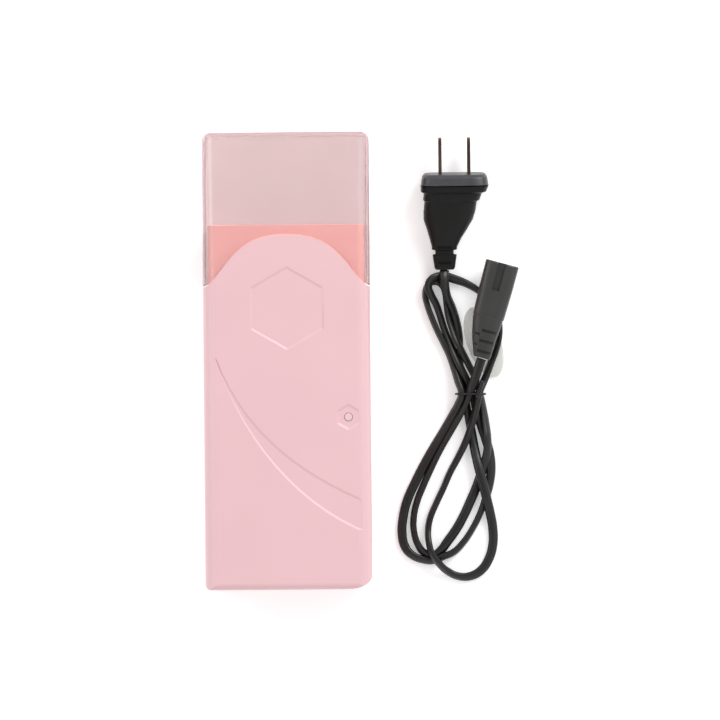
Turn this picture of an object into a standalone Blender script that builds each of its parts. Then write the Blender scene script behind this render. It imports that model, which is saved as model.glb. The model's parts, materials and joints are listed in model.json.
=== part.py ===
"""Hand-held roll-on wax heater lying on its back, with its translucent cover on and its mains lead beside it.

Frame: +Z up from the surface it lies on, +Y towards the cover end, +X towards the lead. The helpers take
millimetres and write metres.
"""

import math

import bmesh
import bpy
from mathutils import Matrix, Vector

MM = 0.001

# Driving dimensions, in millimetres
LENGTH = 201.5
WIDTH = 73.5
DEPTH = 47.0
CORNER = 6.0  # radius of the long edges
WALL = 2.0
GAP = 0.35  # clearance between neighbouring pieces
HALF_L = LENGTH / 2
HALF_W = WIDTH / 2
MID_Z = DEPTH / 2  # height of the parting plane and of the middle of the well

SHOULDER_Y = 32.5  # where the cover's lower edge meets the sides
ARCH_Y = 55.5  # top of the body's arched tongue
NECK_TOP_Y = 60.0
COVER_WALL = 1.8
END_ROUND = 3.0  # rounding of the flat ends towards the front and back faces
WIDE_CORNER = (11.0, 6.0)  # how far the bottom right corner's rounding runs along the end and up the side

WELL_WIDTH, WELL_DEPTH, WELL_ROUND = 52.0, 33.0, 10.0  # inside of the cartridge well
WELL_WALL = 1.5
WELL_BOTTOM_Y = -46.0

HEX_Y, HEX_RADIUS = 23.2, 18.5
RECESS, RAMP = 0.45, 1.1  # depth of the sunken shapes, and how far their sides run out as they rise
LAMP_X, LAMP_Y, LAMP_HEX = 26.8, -24.9, 5.9

SCREWS = ((-31.2, 4.0), (31.2, 4.0), (-31.0, -88.0), (31.0, -88.0))
SCREW_HEAD_Z = 16.0  # floor of the deep counterbore in the rear shell
BOSS_RADIUS = 3.6
PILOT_RADIUS, PILOT_TOP_Z = 1.4, 36.0

PIN_PITCH = 8.6  # between the pins of a figure-8 mains inlet
PIN_RADIUS = 1.2
INLET_WIDTH, INLET_HEIGHT = 20.0, 12.6
INLET_FRONT_Y, INLET_BACK_Y, INLET_FLOOR_Y = -HALF_L + 0.4, -84.0, -88.0
PIN_TIP_Y, PIN_TAIL_Y = -97.2, -79.0

PLATE_HALF_WIDTH = 17.2
PLATE_Y = (-42.0, 6.0)
PLATE_Z = (MID_Z - WELL_DEPTH / 2 - WELL_WALL, MID_Z - WELL_DEPTH / 2 - 0.1)
ELEMENT_THICK = 2.0
ELEMENT_Y = (-22.0, 2.0)
ELEMENT_Z = (PLATE_Z[0] - 0.3 - ELEMENT_THICK, PLATE_Z[0] - 0.3)
FUSE_Y, THERMOSTAT_Y = -31.5, -37.5
WIRING_Z = 3.9  # height of the thermal fuse's axis and of the wires beside it

BOARD_LOW, BOARD_TOP = 39.3, 40.4
BOARD_POSTS = ((31.2, -17.5), (29.0, -33.5))
POST_RADIUS = 1.2
LENS_LOW, LENS_TOP, LENS_RADIUS = 44.0, 46.8, 1.6

CORD_RADIUS = 1.2

BEZIER_ARC = 0.5523  # handle length of a quarter circle, as a share of its radius


# Helpers ------------------------------------------------------------------------------------------------


def clear_scene():
    for obj in list(bpy.data.objects):
        bpy.data.objects.remove(obj, do_unlink=True)


def new_collection(name):
    collection = bpy.data.collections.new(name)
    bpy.context.scene.collection.children.link(collection)
    return collection


def new_material(name, colour, roughness, metallic=0.0, alpha=1.0):
    material = bpy.data.materials.new(name)
    material.use_nodes = True
    shader = material.node_tree.nodes["Principled BSDF"]
    shader.inputs["Base Color"].default_value = (*colour, 1.0)
    shader.inputs["Roughness"].default_value = roughness
    shader.inputs["Metallic"].default_value = metallic
    shader.inputs["Alpha"].default_value = alpha
    return material


def add_object(name, mesh):
    obj = bpy.data.objects.new(name, mesh)
    PARTS.objects.link(obj)
    return obj


def from_bmesh(name, bm):
    mesh = bpy.data.meshes.new(name)
    bmesh.ops.recalc_face_normals(bm, faces=bm.faces[:])
    bm.to_mesh(mesh)
    bm.free()
    return add_object(name, mesh)


def from_curve(name, curve, matrix=None, flat=False):
    """The curve's filled, bevelled or extruded form as a mesh object with its caps welded on."""
    holder = add_object(name + "_curve", curve)
    graph = bpy.context.evaluated_depsgraph_get()
    mesh = bpy.data.meshes.new_from_object(holder.evaluated_get(graph))
    bm = bmesh.new()
    bm.from_mesh(mesh)
    if matrix:
        bmesh.ops.transform(bm, matrix=matrix, verts=bm.verts[:])
    bmesh.ops.remove_doubles(bm, verts=bm.verts[:], dist=1e-6)
    if flat:
        bmesh.ops.dissolve_limit(bm, angle_limit=math.radians(0.5), verts=bm.verts[:], edges=bm.edges[:])
    bpy.data.objects.remove(holder, do_unlink=True)
    bpy.data.curves.remove(curve)
    bpy.data.meshes.remove(mesh)
    return from_bmesh(name, bm)


# How an outline's own x, y and extrusion lie in space, by the axis that it is extruded along
TURNED = {
    "Z": Matrix.Identity(4),
    "Y": Matrix(((1, 0, 0, 0), (0, 0, 1, 0), (0, 1, 0, 0), (0, 0, 0, 1))),
    "X": Matrix(((0, 0, 1, 0), (1, 0, 0, 0), (0, 1, 0, 0), (0, 0, 0, 1))),
}


def outline_solid(name, knots, low, high, axis="Z", steps=5):
    """A closed outline extruded from low to high along an axis. A knot is (x, y) for a sharp corner, or
    (x, y, in_dx, in_dy, out_dx, out_dy) with the two handles' offsets. Along Y the outline's plane is X, Z,
    and along X it is Y, Z."""
    curve = bpy.data.curves.new(name, "CURVE")
    curve.dimensions = "2D"
    curve.fill_mode = "BOTH"
    curve.resolution_u = steps
    curve.extrude = (high - low) / 2 * MM
    spline = curve.splines.new("BEZIER")
    spline.bezier_points.add(len(knots) - 1)
    spline.use_cyclic_u = True
    for point, knot in zip(spline.bezier_points, knots):
        place = Vector((knot[0], knot[1], 0))
        entry, leave = (knot[2:4], knot[4:6]) if len(knot) == 6 else ((0, 0), (0, 0))
        point.handle_left_type = point.handle_right_type = "FREE"
        point.co = place * MM
        point.handle_left = (place + Vector((*entry, 0))) * MM
        point.handle_right = (place + Vector((*leave, 0))) * MM
    lift = Matrix.Translation((0, 0, (low + high) / 2 * MM))
    return from_curve(name, curve, TURNED[axis] @ lift, flat=True)


def rounded(*corners):
    """Knots of a closed outline with right-angled corners. A corner is (x, y), (x, y, radius), or
    (x, y, radius_before, radius_after) for an elliptic one."""
    knots = []
    for index, (x, y, *radii) in enumerate(corners):
        if not radii:
            knots.append((x, y))
            continue
        tip = Vector((x, y))
        before = Vector(corners[index - 1][:2])
        after = Vector(corners[(index + 1) % len(corners)][:2])
        arrive = tip + (before - tip).normalized() * radii[0]
        leave = tip + (after - tip).normalized() * radii[-1]
        knots.append((*arrive, 0, 0, *((tip - arrive) * BEZIER_ARC)))
        knots.append((*leave, *((tip - leave) * BEZIER_ARC), 0, 0))
    return knots


def rectangle(half_width, half_height, radius, middle=(0.0, 0.0)):
    """Knots of a rounded rectangle about a middle."""
    x, y = middle
    return rounded(
        (x - half_width, y - half_height, radius),
        (x + half_width, y - half_height, radius),
        (x + half_width, y + half_height, radius),
        (x - half_width, y + half_height, radius),
    )


def box(name, low, high):
    bm = bmesh.new()
    bmesh.ops.create_cube(bm, size=1.0)
    middle = (Vector(low) + Vector(high)) / 2 * MM
    size = (Vector(high) - Vector(low)) * MM
    placed = Matrix.Translation(middle) @ Matrix.Diagonal((*size, 1))
    bmesh.ops.transform(bm, matrix=placed, verts=bm.verts[:])
    return from_bmesh(name, bm)


def cylinder(name, start, end, radius, end_radius=None, sides=24, turn=0.0):
    """A cylinder or cone between two points."""
    start, end = Vector(start) * MM, Vector(end) * MM
    along = end - start
    bm = bmesh.new()
    bmesh.ops.create_cone(
        bm,
        cap_ends=True,
        segments=sides,
        radius1=radius * MM,
        radius2=(radius if end_radius is None else end_radius) * MM,
        depth=along.length,
        matrix=Matrix.Translation((start + end) / 2)
        @ along.to_track_quat("Z", "Y").to_matrix().to_4x4()
        @ Matrix.Rotation(turn, 4, "Z"),
    )
    return from_bmesh(name, bm)


def combine(target, tool, operation):
    """Applies a Boolean of tool to target and removes tool."""
    modifier = target.modifiers.new(operation.title(), "BOOLEAN")
    modifier.operation = operation
    modifier.solver = "EXACT"
    modifier.object = tool
    graph = bpy.context.evaluated_depsgraph_get()
    mesh = bpy.data.meshes.new_from_object(target.evaluated_get(graph))
    target.modifiers.clear()
    spent = target.data
    target.data = mesh
    bpy.data.meshes.remove(spent)
    bpy.data.objects.remove(tool, do_unlink=True)
    return target


def cut(target, *tools):
    for tool in tools:
        combine(target, tool, "DIFFERENCE")
    return target


def join(target, *tools):
    for tool in tools:
        combine(target, tool, "UNION")
    return target


def finish(obj, material, parent, sharp_angle=35):
    """Gives a piece its material, smooth shading with sharp edges kept, and its place in the tree."""
    obj.data.materials.clear()
    obj.data.materials.append(material)
    obj.data.shade_smooth()
    obj.data.set_sharp_from_angle(angle=math.radians(sharp_angle))
    obj.parent = parent
    return obj


def loft(name, stations, sides=28):
    """A closed skin over rounded sections. A station is (y, half_width, half_height, squareness, shift).
    Squareness 2 is an ellipse, higher is squarer, and the shift moves the section along X."""
    bm = bmesh.new()
    rings = []
    for y, half_width, half_height, squareness, shift in stations:
        ring = []
        for step in range(sides):
            angle = 2 * math.pi * step / sides
            x = math.copysign(abs(math.cos(angle)) ** (2 / squareness), math.cos(angle)) * half_width + shift
            z = math.copysign(abs(math.sin(angle)) ** (2 / squareness), math.sin(angle)) * half_height
            ring.append(bm.verts.new(Vector((x, y, z)) * MM))
        rings.append(ring)
    for ring, following in zip(rings, rings[1:]):
        for step in range(sides):
            ahead = (step + 1) % sides
            bm.faces.new((ring[step], ring[ahead], following[ahead], following[step]))
    bm.faces.new(rings[0])
    bm.faces.new(rings[-1])
    return from_bmesh(name, bm)


def smooth_line(points, count, fineness=12):
    """count points, evenly spaced along the smooth curve through the given ones."""
    points = [Vector(point) for point in points]
    ends = [2 * points[0] - points[1], *points, 2 * points[-1] - points[-2]]
    fine = []
    for before, start, end, after in zip(ends, ends[1:], ends[2:], ends[3:]):
        for step in range(fineness):
            t = step / fineness
            fine.append(
                start
                + (end - before) * (t / 2)
                + (2 * before - 5 * start + 4 * end - after) * (t * t / 2)
                + (3 * start - before - 3 * end + after) * (t * t * t / 2)
            )
    fine.append(points[-1])
    reached = [0.0]
    for a, b in zip(fine, fine[1:]):
        reached.append(reached[-1] + (b - a).length)
    line, place = [], 0
    for step in range(count):
        goal = reached[-1] * step / (count - 1)
        while place < len(fine) - 2 and reached[place + 1] < goal:
            place += 1
        share = (goal - reached[place]) / (reached[place + 1] - reached[place])
        line.append(fine[place].lerp(fine[place + 1], share))
    return line


def tube(name, points, radius, resolution=2):
    curve = bpy.data.curves.new(name, "CURVE")
    curve.dimensions = "3D"
    curve.bevel_depth = radius * MM
    curve.bevel_resolution = resolution
    curve.use_fill_caps = True
    spline = curve.splines.new("POLY")
    spline.points.add(len(points) - 1)
    for slot, point in zip(spline.points, points):
        slot.co = (*(Vector(point) * MM), 1)
    return from_curve(name, curve)


# Outlines shared by the casing's pieces -------------------------------------------------------------------

FAR = 20.0  # how far a cutting shape runs past what it cuts


def section(name, inset, low_y, high_y, half_width=HALF_W):
    """A bar with the casing's cross-section, this far inside its surface."""
    outline = rectangle(half_width - inset, MID_Z - inset, CORNER - inset, (0, MID_Z))
    return outline_solid(name, outline, low_y, high_y, "Y")


def arch(half_width, shift=0.0):
    """The body's upper edge from the right shoulder over the tongue to the left one, shifted along Y."""
    right = [
        (half_width, SHOULDER_Y + shift, 0, 0, -3.0, 0.8),
        (29.6, 39.0 + shift, 2.1, -2.8, -7.2, 9.6),
    ]
    left = [(-x, y, -out_x, out_y, -in_x, in_y) for x, y, in_x, in_y, out_x, out_y in reversed(right)]
    return [*right, (0, ARCH_Y + shift, 16.5, 0, -16.5, 0), *left]


def shell_blank(name, low_z, high_z):
    """The casing between two heights, solid: its plan, its cross-section and its rounded bottom end."""
    bottom = rounded(
        (-HALF_W, 0), (-HALF_W, -HALF_L, 2.6), (HALF_W, -HALF_L, *WIDE_CORNER), (HALF_W, 0)
    )
    plan = bottom[1:-1] + arch(HALF_W)
    blank = outline_solid(name, plan, low_z, high_z, steps=8)
    side = rounded(
        (-HALF_L, 0, END_ROUND), (HALF_L, 0), (HALF_L, DEPTH), (-HALF_L, DEPTH, END_ROUND)
    )
    combine(blank, section("section", 0, -HALF_L - FAR, HALF_L), "INTERSECT")
    return combine(blank, outline_solid("side", side, -HALF_W - FAR, HALF_W + FAR, "X"), "INTERSECT")


def hollow():
    """The room inside the casing, whose wide corner follows the outer one and so keeps the wall's thickness."""
    inner_x, inner_y = HALF_W - WALL, -HALF_L + WALL
    radii = [radius - WALL for radius in WIDE_CORNER]
    plan = rounded((-inner_x, HALF_L), (-inner_x, inner_y), (inner_x, inner_y, *radii), (inner_x, HALF_L))
    room = section("hollow", WALL, inner_y - FAR, HALF_L)
    return combine(room, outline_solid("hollow_plan", plan, -FAR, DEPTH + FAR), "INTERSECT")


def shell(name, low_z, high_z):
    blank = shell_blank(name, low_z, high_z)
    half_width, half_height = INLET_WIDTH / 2 + GAP, INLET_HEIGHT / 2 + GAP
    return cut(
        blank,
        hollow(),
        box(
            "inlet_gap",
            (-half_width, -HALF_L - FAR, MID_Z - half_height),
            (half_width, -HALF_L + FAR / 2, MID_Z + half_height),
        ),
    )


def boss(x, y, low_z, high_z):
    """A screw boss, trimmed to stay inside the casing's wall."""
    post = cylinder("boss", (x, y, low_z), (x, y, high_z), BOSS_RADIUS, sides=20)
    return combine(post, section("trim", WALL / 2, -HALF_L, HALF_L), "INTERSECT")


# Heater ---------------------------------------------------------------------------------------------------


def blend(start, leave, entry, end, share):
    """The place at this share of the way along a cubic curve, given the offsets of its two handles."""
    start, end = Vector(start), Vector(end)
    first, second = start + Vector(leave), end + Vector(entry)
    rest = 1 - share
    return start * rest**3 + first * 3 * rest**2 * share + second * 3 * rest * share**2 + end * share**3


def crescent_cutter(floor_z):
    """The room over the crescent. Its long walls lean outwards, so the recess has gentle sides."""
    steps = 14
    top_z = floor_z + 2 * RECESS
    bm = bmesh.new()
    rings = []
    for step in range(steps + 1):
        upper = blend((-31.3, 1.6), (12.5, -33.0), (-31.0, 12.4), (37.5, -63.0), step / steps)
        lower = blend((-31.5, 0.6), (10.8, -34.0), (-34.0, 12.6), (37.5, -77.5), step / steps)
        down = lower - upper
        lean = down.normalized() * min(RAMP, 0.35 * down.length)
        places = (
            (upper + lean, floor_z), (lower - lean, floor_z), (lower + lean, top_z), (upper - lean, top_z)
        )
        rings.append([bm.verts.new((place.x * MM, place.y * MM, z * MM)) for place, z in places])
    for ring, following in zip(rings, rings[1:]):
        for side in range(4):
            after = (side + 1) % 4
            bm.faces.new((ring[side], ring[after], following[after], following[side]))
    bm.faces.new(rings[0])
    bm.faces.new(rings[-1])
    bmesh.ops.triangulate(bm, faces=bm.faces[:])
    return from_bmesh("crescent", bm)


def front_shell():
    low_z = MID_Z + GAP / 2
    piece = shell("front_shell", low_z, DEPTH + FAR)
    for x, y in SCREWS:
        join(piece, boss(x, y, low_z, DEPTH))
        cut(piece, cylinder("pilot", (x, y, low_z - 1), (x, y, PILOT_TOP_Z), PILOT_RADIUS, sides=12))
    for x, y in BOARD_POSTS:
        top = (x, y, DEPTH - WALL / 2)
        join(piece, cylinder("board_post", (x, y, BOARD_TOP + GAP), top, POST_RADIUS, sides=12))
    floor_z = DEPTH - RECESS
    hexagon = cylinder(
        "hexagon",
        (0, HEX_Y, floor_z),
        (0, HEX_Y, floor_z + 2 * RECESS),
        HEX_RADIUS - RAMP,
        HEX_RADIUS + RAMP,
        6,
    )
    lamp_hexagon = cylinder(
        "lamp_hexagon",
        (LAMP_X, LAMP_Y, floor_z),
        (LAMP_X, LAMP_Y, floor_z + 2 * RECESS),
        LAMP_HEX - RAMP,
        LAMP_HEX + RAMP,
        6,
    )
    crescent = crescent_cutter(floor_z)
    lamp_hole = cylinder(
        "lamp_hole", (LAMP_X, LAMP_Y, 40), (LAMP_X, LAMP_Y, DEPTH + 1), LENS_RADIUS + 0.3, sides=16
    )
    cut(piece, hexagon, lamp_hexagon, crescent, lamp_hole)
    return finish(piece, PINK, HEATER)


def rear_shell():
    high_z = MID_Z - GAP / 2
    piece = shell("rear_shell", -FAR, high_z)
    for x, y in SCREWS:
        join(piece, boss(x, y, 0, high_z))
        cut(
            piece,
            cylinder("counterbore", (x, y, -1), (x, y, SCREW_HEAD_Z), 2.5, sides=20),
            cylinder("clearance", (x, y, SCREW_HEAD_Z - 1), (x, y, high_z + 1), 1.5, sides=12),
        )
    return finish(piece, PINK, HEATER)


def neck_collar():
    """The collar that the cover slides over, with a deck round the mouth of the cartridge well."""
    inset, wall, low_y, deck = WALL + GAP, 1.8, 14.0, 2.2
    piece = section("neck_collar", inset, low_y, NECK_TOP_Y)
    mouth = rectangle(WELL_WIDTH / 2, WELL_DEPTH / 2, WELL_ROUND, (0, MID_Z))
    cut(
        piece,
        section("collar_hollow", inset + wall, low_y - 1, NECK_TOP_Y - deck),
        outline_solid("mouth", mouth, NECK_TOP_Y - FAR, NECK_TOP_Y + 1, "Y"),
    )
    return finish(piece, CORAL, HEATER)


def cartridge_well():
    top_y = NECK_TOP_Y - 2.2 - GAP
    middle = (0, MID_Z)
    outer = rectangle(
        WELL_WIDTH / 2 + WELL_WALL, WELL_DEPTH / 2 + WELL_WALL, WELL_ROUND + WELL_WALL, middle
    )
    inner = rectangle(WELL_WIDTH / 2, WELL_DEPTH / 2, WELL_ROUND, middle)
    piece = outline_solid("cartridge_well", outer, WELL_BOTTOM_Y - WELL_WALL, top_y, "Y")
    x, low_y, high_y = PLATE_HALF_WIDTH + GAP, PLATE_Y[0] - GAP, PLATE_Y[1] + GAP
    cut(
        piece,
        outline_solid("well_hollow", inner, WELL_BOTTOM_Y, top_y + 1, "Y"),
        box("plate_window", (-x, low_y, 0), (x, high_y, MID_Z - WELL_DEPTH / 2 + 0.5)),
    )
    return finish(piece, WELL_METAL, HEATER)


def heating_parts():
    low_z, high_z = ELEMENT_Z
    finish(
        box(
            "heater_plate",
            (-PLATE_HALF_WIDTH, PLATE_Y[0], PLATE_Z[0]),
            (PLATE_HALF_WIDTH, PLATE_Y[1], PLATE_Z[1]),
        ),
        ALUMINIUM,
        HEATER,
    )
    finish(box("ptc_element", (-13, ELEMENT_Y[0], low_z), (13, ELEMENT_Y[1], high_z)), CERAMIC, HEATER)
    near, far = ELEMENT_Y[0] - 2.2, ELEMENT_Y[1] + 2.2
    foot_z, sheet, foot = high_z, 0.5, 1.7
    bridge_z = low_z - 0.3
    bridge = [
        (near - sheet - foot, foot_z),
        (near - sheet - foot, foot_z - sheet),
        (near - sheet, foot_z - sheet),
        (near - sheet, bridge_z - sheet),
        (far + sheet, bridge_z - sheet),
        (far + sheet, foot_z - sheet),
        (far + sheet + foot, foot_z - sheet),
        (far + sheet + foot, foot_z),
        (far, foot_z),
        (far, bridge_z),
        (near, bridge_z),
        (near, foot_z),
    ]
    finish(outline_solid("heater_clip", bridge, -6, 6, "X"), STEEL, HEATER)
    finish(box("thermostat", (-9, THERMOSTAT_Y - 3, 2.5), (9, THERMOSTAT_Y + 3, 5.2)), STEEL, HEATER)
    finish(
        cylinder("thermal_fuse", (-7, FUSE_Y, WIRING_Z), (7, FUSE_Y, WIRING_Z), 1.2, sides=16),
        FUSE_WHITE,
        HEATER,
    )


def indicator_parts():
    finish(box("indicator_board", (23.8, -36, BOARD_LOW), (34.3, -14, BOARD_TOP)), BOARD_GREEN, HEATER)
    base_z = BOARD_TOP + GAP
    lamp = cylinder("indicator_lamp", (LAMP_X, LAMP_Y, base_z), (LAMP_X, LAMP_Y, base_z + 2), 1.5, sides=16)
    top = base_z + 2.8
    join(lamp, cylinder("dome", (LAMP_X, LAMP_Y, base_z + 1.9), (LAMP_X, LAMP_Y, top), 1.5, 0.8, 16))
    finish(lamp, LAMP_RED, HEATER)
    base = (LAMP_X, LAMP_Y, LENS_LOW)
    lens = cylinder("indicator_lens", base, (LAMP_X, LAMP_Y, LENS_TOP), LENS_RADIUS, sides=20)
    join(lens, cylinder("flange", base, (LAMP_X, LAMP_Y, LENS_LOW + 0.65), LENS_RADIUS + 0.8, sides=20))
    finish(lens, LENS, HEATER)
    height = base_z + 0.8
    finish(
        cylinder("dropper_resistor", (31.8, -30, height), (31.8, -23, height), 0.8, sides=12),
        RESISTOR_TAN,
        HEATER,
    )


def inlet():
    half_width, half_height = INLET_WIDTH / 2, INLET_HEIGHT / 2
    middle = (0, MID_Z)
    piece = outline_solid(
        "mains_inlet", rectangle(half_width, half_height, 1.5, middle), INLET_FRONT_Y, INLET_BACK_Y, "Y"
    )
    flange_y = -HALF_L + WALL + GAP
    join(
        piece,
        outline_solid(
            "flange",
            rectangle(half_width + 2.5, half_height + 1.7, 2.0, middle),
            flange_y,
            flange_y + 2,
            "Y",
        ),
    )
    cut(piece, outline_solid("socket", rectangle(7.5, 4.3, 4.2, middle), -HALF_L - 1, INLET_FLOOR_Y, "Y"))
    for side, x in (("left", -PIN_PITCH / 2), ("right", PIN_PITCH / 2)):
        start, end = (x, INLET_FLOOR_Y - 1, MID_Z), (x, INLET_BACK_Y + 1, MID_Z)
        cut(piece, cylinder("pin_hole", start, end, PIN_RADIUS + 0.3, sides=16))
        pin = cylinder(
            "inlet_pin_" + side, (x, PIN_TIP_Y, MID_Z), (x, PIN_TAIL_Y, MID_Z), PIN_RADIUS, sides=16
        )
        tip = cylinder(
            "tip", (x, PIN_TIP_Y + 0.1, MID_Z), (x, PIN_TIP_Y - 0.8, MID_Z), PIN_RADIUS, PIN_RADIUS / 2, 16
        )
        finish(join(pin, tip), BRASS, HEATER)
    return finish(piece, BLACK_HARD, HEATER)


def screws():
    for number, (x, y) in enumerate(SCREWS, 1):
        top = SCREW_HEAD_Z - 0.3
        head_low = top - 1.7
        screw = cylinder(f"case_screw_{number}", (x, y, head_low), (x, y, top), 2.2, sides=20)
        join(screw, cylinder("shank", (x, y, top - 0.5), (x, y, top + 16), 1.15, sides=12))
        for half_x, half_y in ((1.3, 0.3), (0.3, 1.3)):
            slot = box("slot", (x - half_x, y - half_y, 0), (x + half_x, y + half_y, head_low + 0.9))
            cut(screw, slot)
        finish(screw, STEEL, HEATER)


WIRES = {
    "wire_live": (
        (-4.3, PIN_TAIL_Y + 1, MID_Z),
        (-6, -72, 22),
        (-12, -61, 14),
        (-16, -52, 6.5),
        (-14.5, -43, 4.0),
        (-12, THERMOSTAT_Y, WIRING_Z),
        (-9.9, THERMOSTAT_Y, WIRING_Z),
    ),
    "wire_thermostat_to_fuse": (
        (9.9, THERMOSTAT_Y, WIRING_Z),
        (11.6, -36.4, WIRING_Z),
        (12, -34.2, WIRING_Z),
        (10.6, -32, WIRING_Z),
        (7.9, FUSE_Y, WIRING_Z),
    ),
    "wire_fuse_to_element": (
        (-7.9, FUSE_Y, WIRING_Z),
        (-11, -30.6, WIRING_Z),
        (-14.6, -26, WIRING_Z),
        (-16.2, -18, WIRING_Z),
        (-16, -11.5, 4.0),
        (-13.9, -9.5, 4.1),
    ),
    "wire_neutral": (
        (4.3, PIN_TAIL_Y + 1, MID_Z),
        (8, -70, 20),
        (17, -58, 12),
        (20, -48.5, 5.6),
        (18.6, -38, WIRING_Z),
        (17, -22, WIRING_Z),
        (16, -12, 4.0),
        (13.9, -9.5, 4.1),
    ),
    "wire_lamp_live": (
        (-4.3, -80.5, MID_Z + 2.3),
        (-3, -73, 29),
        (10, -57, 37),
        (24, -53, 40),
        (29.6, -47, 40.6),
        (30.5, -38.5, 40.2),
        (30.5, -36.9, 39.9),
    ),
    "wire_lamp_neutral": (
        (4.3, -80.5, MID_Z + 2.3),
        (9, -73, 28),
        (20, -59, 33),
        (25, -51, 37.4),
        (27, -44, 38.8),
        (26.2, -38.5, 39.7),
        (26, -36.9, 39.9),
    ),
}


def wires():
    for name, route in WIRES.items():
        colour = WIRE_BLUE if "neutral" in name else WIRE_RED
        finish(tube(name, smooth_line(route, 18), 0.5), colour, HEATER)


def cover():
    """The cover in its place over the collar. Its own empty sits on the line that it slides along."""
    half_width = HALF_W + 0.15
    top = rounded((half_width, 0), (half_width, HALF_L, 4.2), (-half_width, HALF_L, 4.2), (-half_width, 0))
    lower_edge = [
        (x, y, out_x, out_y, in_x, in_y) for x, y, in_x, in_y, out_x, out_y in reversed(arch(half_width, 0.5))
    ]
    plan = top[1:-1] + lower_edge
    piece = outline_solid("cover", plan, -FAR, DEPTH + FAR, steps=8)
    side = rounded((0, 0), (HALF_L, 0, END_ROUND), (HALF_L, DEPTH, END_ROUND), (0, DEPTH))
    combine(piece, section("section", 0, 0, HALF_L + FAR, half_width), "INTERSECT")
    combine(piece, outline_solid("side", side, -HALF_W - FAR, HALF_W + FAR, "X"), "INTERSECT")
    cut(piece, section("hollow", COVER_WALL, SHOULDER_Y - FAR, HALF_L - WALL, half_width))
    return finish(piece, COVER_CLEAR, COVER_SLIDE)


# Mains lead -------------------------------------------------------------------------------------------------

LEAD_TURN = math.radians(-0.5)  # the whole lead, about the heater's middle

# Each end piece is made lying along Y with its front at the origin, then turned and placed.
PLUG_FRONT = (73.85, 82.9, 9.4)
PLUG_TURN = (math.radians(6.5), 0, math.radians(0.6))
# A section is (distance behind the front, half width, half height, squareness, sideways shift). The soft body
# leans to one side, as the cord has pulled it.
PLUG_SECTIONS = (
    (5.2, 15.1, 8.7, 4.5, 0.0),
    (7.7, 14.6, 8.4, 4.5, -0.5),
    (8.5, 12.9, 7.6, 4.0, -0.8),
    (11.6, 12.5, 7.2, 3.6, -1.5),
    (12.2, 11.6, 6.9, 3.2, -1.8),
    (16.7, 11.5, 6.7, 3.0, -2.4),
    (20.5, 10.9, 6.2, 2.8, -3.0),
    (25.0, 8.8, 5.1, 2.6, -3.6),
    (28.7, 7.1, 4.1, 2.6, -4.3),
    (32.3, 5.7, 3.3, 2.7, -4.7),
    (33.7, 5.6, 2.9, 3.0, -4.8),
    (34.1, 4.1, 2.4, 3.0, -4.8),
    (35.7, 4.1, 2.4, 3.0, -4.7),
    (36.1, 5.4, 2.8, 3.0, -4.7),
    (41.7, 4.6, 2.4, 3.0, -4.7),
    (42.6, 4.1, 2.1, 3.0, -4.7),
)
PLUG_FACE_SECTIONS = (
    (0.0, 13.4, 6.4, 4.0, 0.0),
    (1.2, 14.4, 7.6, 4.2, 0.0),
    (4.9, 15.0, 8.6, 4.5, 0.0),
)
# A slot across the plug's strain relief is (distance behind the front, half length, floor's height, shift).
PLUG_SLOTS = ((32.6, 3.2, 2.3, -4.7), (39.5, 2.8, 1.7, -4.7))
BLADE_SPACING, BLADE_LENGTH, BLADE_THICK, BLADE_WIDE = 12.7, 15.9, 1.5, 6.35

CONNECTOR_FRONT = (95.1, 43.2, 8.4)
CONNECTOR_TURN = (0, 0, math.radians(-14.8))
CONNECTOR_SECTIONS = (
    (0.0, 7.3, 4.1, 3.8, 0.0),
    (0.6, 7.5, 4.35, 3.8, 0.0),
    (12.0, 7.4, 4.4, 3.6, 0.0),
    (24.4, 7.0, 4.5, 3.2, 0.0),
    (25.0, 6.65, 4.2, 3.2, 0.0),
    (25.7, 6.75, 4.3, 3.0, 0.0),
    (34.0, 5.5, 3.6, 2.8, 0.5),
    (42.2, 3.9, 2.6, 2.6, 1.7),
    (42.8, 3.5, 2.3, 2.6, 1.8),
)
RELIEF_SLOTS = (30.9, 35.5, 40.1)  # each has a partner a step further on, across the middle
SLOT_STEP, SLOT_HALF, SLOT_REACH = 2.0, 0.6, 8.0
VALLEY_HALF, VALLEY_FLOOR, VALLEY_LENGTH = 1.7, 2.4, 12.5


def behind(sections):
    return [(-y, *rest) for y, *rest in sections]


def place(obj, front, turn):
    obj.location = Vector(front) * MM
    obj.rotation_euler = turn
    return obj


def plug():
    body = loft("plug_body", behind(PLUG_SECTIONS))
    for slot, half, floor_z, shift in PLUG_SLOTS:
        low_x, high_x = shift - half, shift + half
        cut(body, box("slot", (low_x, -slot - SLOT_HALF, floor_z), (high_x, -slot + SLOT_HALF, 6)))
        cut(body, box("slot", (low_x, -slot - SLOT_HALF, -6), (high_x, -slot + SLOT_HALF, -floor_z)))
    finish(place(body, PLUG_FRONT, PLUG_TURN), BLACK_SOFT, LEAD)
    face = place(loft("plug_face", behind(PLUG_FACE_SECTIONS)), PLUG_FRONT, PLUG_TURN)
    finish(face, GREY_HARD, LEAD)
    for side, x in (("left", -BLADE_SPACING / 2), ("right", BLADE_SPACING / 2)):
        half = BLADE_WIDE / 2
        outline = rounded((0.3, -half), (BLADE_LENGTH, -half, 1.6), (BLADE_LENGTH, half, 1.6), (0.3, half))
        blade = outline_solid(
            "plug_blade_" + side, outline, x - BLADE_THICK / 2, x + BLADE_THICK / 2, "X", steps=4
        )
        finish(place(blade, PLUG_FRONT, PLUG_TURN), BRASS, LEAD)


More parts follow.
